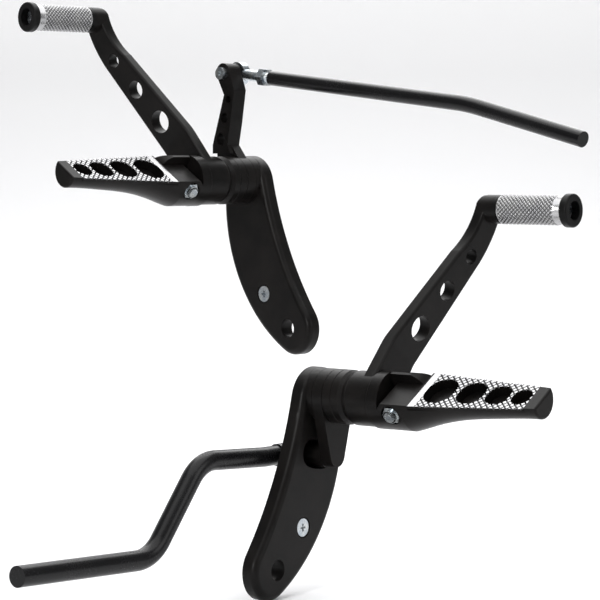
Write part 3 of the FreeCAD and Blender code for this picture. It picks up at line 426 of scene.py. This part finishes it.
# %% [markdown]
# ## Dressing
# The record names a material slot for every CAD node, so each node gets the finish of that name, and
# no node is left bare. A piece made here is put on its body in the same way.

# %% Dress the CAD nodes
for part in RECORD["subparts"]:
    node = NODES[part["node"]]
    node.data.materials.clear()
    node.data.materials.append(FINISH[part["material_slot"]])
print("dressed:", len(RECORD["subparts"]))


def on_body(piece, finishes, body):
    """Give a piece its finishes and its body."""
    for finish in finishes:
        piece.data.materials.append(finish)
    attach(piece, body)
    print(piece.name, "faces:", len(piece.data.polygons))


# %% [markdown]
# ## Knurled toe sleeves
# The toe pegs are turned aluminium sleeves whose grip is a diamond knurl, pressed by two wheels that
# leave crossing helical grooves. A bump map would flatten at the outline, so the sleeve is a real
# surface: a half profile carried once round, whose radius drops where a groove runs.

# %% Knurl and sleeves
TAU = 2 * math.pi
TOE_AXIS = np.array([106.8, 142.0])
SLEEVE_START, SLEEVE_LONG, SLEEVE_RADIUS = 93.6, 58.0, 11.5
BOLT_RADIUS, SOCKET_RADIUS, SOCKET_DEEP = 4.05, 7.6, 14.0
GRIP_FROM, GRIP_LONG, NECK_DEEP = 2.0, 49.0, 0.9
DIAMONDS_AROUND, DIAMOND_LONG, SAMPLES = 21, 3.5, 12
KNURL_DEEP, GROOVE_HALF = 0.75, 0.27
SLEEVE_SHARP = 60.0


def knurl(x, angle):
    """How deep the knurl is, from 0 to 1: a groove lies where the turn count plus or minus the length
    count is whole. Each groove is a V, GROOVE_HALF to a side, and where two cross the deeper counts."""
    around = angle / TAU * DIAMONDS_AROUND
    along = x / DIAMOND_LONG
    away = np.minimum(np.abs(around + along - np.round(around + along)),
                      np.abs(around - along - np.round(around - along)))
    return np.clip(1 - away / GROOVE_HALF, 0, 1)


def sleeve_profile():
    """Rows of (x, radius, knurl share): inner face, rounded edge, grip, turned neck, bolt's socket."""
    x0, x1, r = SLEEVE_START, SLEEVE_START + SLEEVE_LONG, SLEEVE_RADIUS
    grip = x0 + GRIP_FROM + np.arange(0, GRIP_LONG, DIAMOND_LONG / SAMPLES)
    first = [(x0, BOLT_RADIUS, 0), (x0, r - 1.1, 0), (x0 + 0.3, r - 0.5, 0),
             (x0 + 1.0, r - 0.1, 0), (x0 + 1.6, r, 0)]
    middle = np.stack([grip, np.full_like(grip, r), np.ones_like(grip)], -1)
    last = [(x0 + 51.6, r - 0.2, 0), (x0 + 52.6, r - NECK_DEEP, 0), (x1 - 0.6, r - NECK_DEEP, 0),
            (x1, r - 1.5, 0), (x1, SOCKET_RADIUS, 0), (x1 - SOCKET_DEEP, SOCKET_RADIUS, 0),
            (x1 - SOCKET_DEEP, BOLT_RADIUS, 0)]
    return np.concatenate([np.array(first, float), middle, np.array(last, float)])


def sleeve_points():
    """Side points of the sleeve, each profile row turned about the toe bolt, less the knurl's depth;
    and how deep in a groove each point lies."""
    profile = sleeve_profile()
    angle = np.arange(DIAMONDS_AROUND * SAMPLES) * TAU / (DIAMONDS_AROUND * SAMPLES)
    x = np.broadcast_to(profile[:, :1], (len(profile), len(angle)))
    groove = profile[:, 2:3] * knurl(x, angle[None, :])
    radius = profile[:, 1:2] - KNURL_DEEP * groove
    y, z = TOE_AXIS[0] + radius * np.cos(angle), TOE_AXIS[1] + radius * np.sin(angle)
    return np.stack([x, y, z], -1), groove


for side in SIDE_ORIGIN:
    points, groove = sleeve_points()
    sleeve = wrapped_piece(side + "_toe_knurl", in_set(points, side), SLEEVE_SHARP)
    # The knurl's depth is kept as the mask for painted shade in its grooves.
    mark_grooves(sleeve, groove)
    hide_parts(side + "_toe_sleeve")
    on_body(sleeve, [PAINTED_SHADE_ALUMINIUM], side + "_lever")

# %% [markdown]
# ## Toothed peg pads
# The foot peg's top is cut bright through the black finish, and V grooves cross it at 45 degrees, so
# that small flat-topped teeth bite into a boot's sole. The plate is a height field on a square grid.
# Its grid points next to an edge are first pulled onto the edge, which gives clean holes without any
# boolean cut. The grooves run along the grid's diagonals, and each cell is split along the one that
# fits.

# %% Pad outline
PAD_START, PAD_END, PAD_TOP, PAD_BOTTOM = 96.4, 193.0, 12.4, 9.2
PAD_HALF, PAD_HALF_END, PAD_STRIP, STRIP_EDGE = 21.4, 14.1, 5.6, 0.3
# One row a hole: its place along the peg, its half width and its half height.
PAD_HOLES = np.array([[114.0, 12.3, 15.0], [141.2, 11.0, 13.1],
                      [164.6, 9.7, 11.2], [184.6, 7.6, 9.1]])
TOOTH, TOOTH_DEEP, TOOTH_FLAT, TOOTH_SAMPLES = 5.2, 1.3, 0.62, 16
STEP = TOOTH / TOOTH_SAMPLES


def off_metal(x, y):
    """Signed distance to the plate's edge, positive off the metal: the largest of the distances past
    the tapered sides, past the ends, and into each hole, which is a segment with a radius round it."""
    taper = (PAD_HALF - PAD_HALF_END) / (PAD_END - PAD_START)
    sides = (np.abs(y) - PAD_HALF + taper * (x - PAD_START)) / math.hypot(1, taper)
    ends = np.maximum(PAD_START - x, x - PAD_END)
    at, half, tall = PAD_HOLES.T.reshape(3, len(PAD_HOLES), *(1,) * np.ndim(x))
    holes = half - np.hypot(x - at, np.maximum(np.abs(y) - (tall - half), 0))
    return np.maximum(np.maximum(sides, ends), holes.max(axis=0))


def tooth_height(x, y):
    """Height of the plate's top: flat on the inner strip, then V grooves where x plus or minus y is a
    whole number of teeth, and a flat on each tooth."""
    u, v = (x - PAD_START + y) / TOOTH, (x - PAD_START - y) / TOOTH
    away = 2 * np.minimum(np.abs(u - np.round(u)), np.abs(v - np.round(v)))
    cut = np.clip((x - PAD_START - PAD_STRIP) / STRIP_EDGE, 0, 1)
    return PAD_TOP - cut * TOOTH_DEEP * (1 - np.minimum(away / (1 - TOOTH_FLAT), 1))


print("metal at the strip:", off_metal(PAD_START + 1, 0.0) < 0, "grid step (mm):", STEP)


# %% Pad top
HALF_COLUMNS, NUDGE, PULL_REACH = 70, 0.01, 0.55
EDGE_SLACK, INSIDE = 0.05, -0.02


def pad_grid():
    """A square grid over the plate, with the points next to an edge moved along the distance's slope."""
    x, y = np.meshgrid(np.arange(PAD_START, PAD_END + 2 * STEP, STEP),
                       np.arange(-HALF_COLUMNS, HALF_COLUMNS + 1) * STEP, indexing="ij")
    away = off_metal(x, y)
    slope = np.stack([off_metal(x + NUDGE, y) - off_metal(x - NUDGE, y),
                      off_metal(x, y + NUDGE) - off_metal(x, y - NUDGE)]) / (2 * NUDGE)
    pull = np.where(np.abs(away) < PULL_REACH * STEP, away, 0)
    return x - pull * slope[0], y - pull * slope[1]


def pad_top(x, y, z, cells):
    """Two triangles a cell, split along the diagonal whose middle lies nearer the surface, and only
    those on the metal."""
    a, b, c, d = cells.T
    middle = tooth_height((x[a] + x[c]) / 2, (y[a] + y[c]) / 2)
    first = np.abs((z[a] + z[c]) / 2 - middle) <= np.abs((z[b] + z[d]) / 2 - middle)
    one = np.where(first[:, None], np.stack([a, b, c], -1), np.stack([a, b, d], -1))
    two = np.where(first[:, None], np.stack([a, c, d], -1), np.stack([b, c, d], -1))
    top = np.concatenate([one, two])
    corners = off_metal(x[top], y[top])
    centres = off_metal(x[top].mean(axis=1), y[top].mean(axis=1))
    return top[(corners.max(axis=1) < EDGE_SLACK) & (centres < INSIDE)]


grid_x, grid_y = pad_grid()
print("pad grid:", grid_x.shape)


# %% Pad plate
# PAD_SHADE is how much of the painted groove shade the pads get.
PAD_SHADE, PAD_SHARP = 0.5, 25.0


def pad_mesh():
    """Points of the peg's frame, triangles (the top, the same below, and walls along every edge that
    has one triangle), and how many of them are the toothed top."""
    x, y = grid_x.ravel(), grid_y.ravel()
    z = tooth_height(x, y)
    top = pad_top(x, y, z, grid_faces(*grid_x.shape))
    under = len(x)
    edges = np.concatenate([top[:, [0, 1]], top[:, [1, 2]], top[:, [2, 0]]])
    number = edges.min(axis=1) * under + edges.max(axis=1)
    _, where, count = np.unique(number, return_index=True, return_counts=True)
    rim = edges[where[count == 1]]
    walls = np.concatenate([np.stack([rim[:, 1], rim[:, 0], rim[:, 0] + under], -1),
                            np.stack([rim[:, 1], rim[:, 0] + under, rim[:, 1] + under], -1)])
    points = np.concatenate([np.stack([x, y, z], -1),
                             np.stack([x, y, np.full_like(x, PAD_BOTTOM)], -1)])
    faces = np.concatenate([top, top[:, ::-1] + under, walls])
    used, faces = np.unique(faces, return_inverse=True)
    return points[used], faces.reshape(-1, 3), len(top)


for side in SIDE_ORIGIN:
    points, faces, bright = pad_mesh()
    groove = np.clip((PAD_TOP - points[:, 2]) / TOOTH_DEEP, 0, 1)
    points = in_set(on_peg(points), side)
    plate = mesh_piece(side + "_peg_teeth", points, outward(points, faces), PAD_SHARP)
    # Painted shade in the pad's grooves, at half the strength of the sleeves'.
    mark_grooves(plate, PAD_SHADE * groove)
    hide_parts(side + "_peg_pad")
    on_body(plate, [PAINTED_SHADE_ALUMINIUM, FINISH["black_casting"]], side + "_peg")
    shade = np.where(np.arange(len(faces)) < bright, 0, 1)
    plate.data.polygons.foreach_set("material_index", shade.astype(np.int32))

# %% [markdown]
# ## The rod end's thread and the lock nuts' rings
# A rod end screws into its rod, and a lock nut holds it, so a few turns of thread show between the
# two. Each turn climbs one pitch, which is a helix: the radius drops with the distance from a line
# that runs round the axis as it runs along it. The foot pegs' nuts carry a plastic ring that grips
# the bolt. Both are profiles carried once round an axis.

# %% Thread and rings
THREAD_FROM, THREAD_TO, THREAD_CORE, THREAD_CREST = 37.55, 42.95, 3.7, 4.5
THREAD_DEEP, PITCH, PITCH_SAMPLES = 0.55, 1.25, 12
LINK, BEND_Y, BEND_Z = np.array([-0.8, 7.8, 93.8]), -269.3, 63.0
ROD_FALL = math.atan2(LINK[2] - BEND_Z, LINK[1] - BEND_Y)
RING_X, RING_Y, RING_Z, RING_RADIUS = 79.0, -24.7, 3.0, 4.75
RING_HALF_WIDE, RING_HALF_DEEP, RING_SAMPLES = 0.45, 0.4, 16
TURN_SAMPLES, ROUND_SHARP = 96, 50.0
ROUND = np.arange(TURN_SAMPLES) * TAU / TURN_SAMPLES


def thread_points():
    """Side points of the thread: a crest radius less a V whose root climbs one pitch a turn, over a
    plain core."""
    along = np.arange(THREAD_FROM, THREAD_TO, PITCH / PITCH_SAMPLES)
    turns = along[:, None] / PITCH - ROUND / TAU
    outer = THREAD_CREST - THREAD_DEEP * 2 * np.abs(turns - np.round(turns))
    core = np.full((1, len(ROUND)), THREAD_CORE)
    radius = np.concatenate([core, outer, core])[:, :, None]
    reach = np.concatenate([along[:1], along, along[-1:]])[:, None, None]
    down = np.array([0, -math.cos(ROD_FALL), -math.sin(ROD_FALL)])
    up = np.array([0, -math.sin(ROD_FALL), math.cos(ROD_FALL)])
    rim = np.cos(ROUND)[:, None] * np.array([1, 0, 0]) + np.sin(ROUND)[:, None] * up
    return LINK + reach * down + radius * rim


def lock_ring_points():
    """Peg points of a nut's plastic ring: an oval section carried round the peg's bolt."""
    section = np.arange(RING_SAMPLES)[:, None] * TAU / RING_SAMPLES
    radius = RING_RADIUS + RING_HALF_WIDE * np.cos(section)
    depth = np.broadcast_to(RING_Y + RING_HALF_DEEP * np.sin(section), (RING_SAMPLES, len(ROUND)))
    return np.stack([RING_X + radius * np.cos(ROUND), depth, RING_Z + radius * np.sin(ROUND)], -1)


thread = wrapped_piece("left_rod_thread", in_set(thread_points(), "left"), ROUND_SHARP)
on_body(thread, [FINISH["zinc_steel"]], "left_rod")
for side in SIDE_ORIGIN:
    ring_points = in_set(on_peg(lock_ring_points()), side)
    ring = wrapped_piece(side + "_lock_ring", ring_points, ROUND_SHARP)
    on_body(ring, [FINISH["black_cap"]], side + "_peg")
